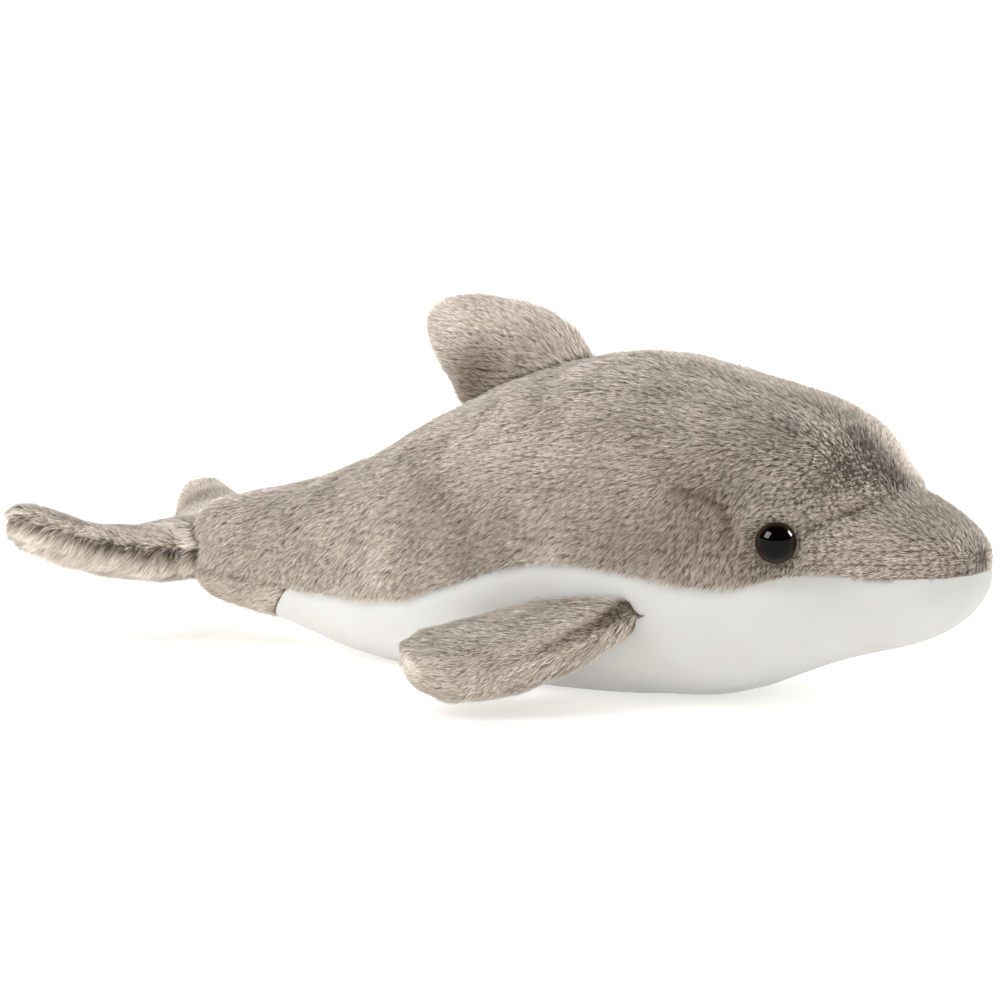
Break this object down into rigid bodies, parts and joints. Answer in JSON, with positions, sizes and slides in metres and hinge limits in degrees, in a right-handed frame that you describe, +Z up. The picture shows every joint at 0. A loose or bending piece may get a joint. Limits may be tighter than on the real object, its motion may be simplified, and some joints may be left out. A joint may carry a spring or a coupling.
{
  "type": "plush dolphin",
  "caption": "Soft toy dolphin lying on its belly, with a grey fur back, fin, flippers and flukes, a white belly and chin, and glossy black safety eyes.",
  "frame": {"origin": "centre of the flat spot under the belly, where the toy rests on the floor", "axes": "+X towards the snout, +Y to the dolphin's left, +Z up"},
  "size_m": [0.31, 0.1738, 0.1103],
  "materials": {
    "grey_fur": "short pile fur fabric, brushed",
    "white_plush": "short smooth plush",
    "eye_plastic": "polished",
    "washer_plastic": "moulded",
    "stuffing": "loose polyester fibre"
  },
  "bodies": {
    "root": {"back_panel_left": "grey_fur", "back_panel_right": "grey_fur", "belly_panel": "white_plush", "tail_underside_panel": "grey_fur", "dorsal_fin_left": "grey_fur", "dorsal_fin_right": "grey_fur", "right_flipper_top": "grey_fur", "right_flipper_bottom": "grey_fur", "left_flipper_top": "grey_fur", "left_flipper_bottom": "grey_fur", "flukes_top": "grey_fur", "flukes_bottom": "grey_fur", "eye_right": "eye_plastic", "eye_left": "eye_plastic", "eye_washer_right": "washer_plastic", "eye_washer_left": "washer_plastic", "body_stuffing": "stuffing", "dorsal_fin_stuffing": "stuffing", "right_flipper_stuffing": "stuffing", "left_flipper_stuffing": "stuffing", "flukes_stuffing": "stuffing"}
  },
  "joints": []
}
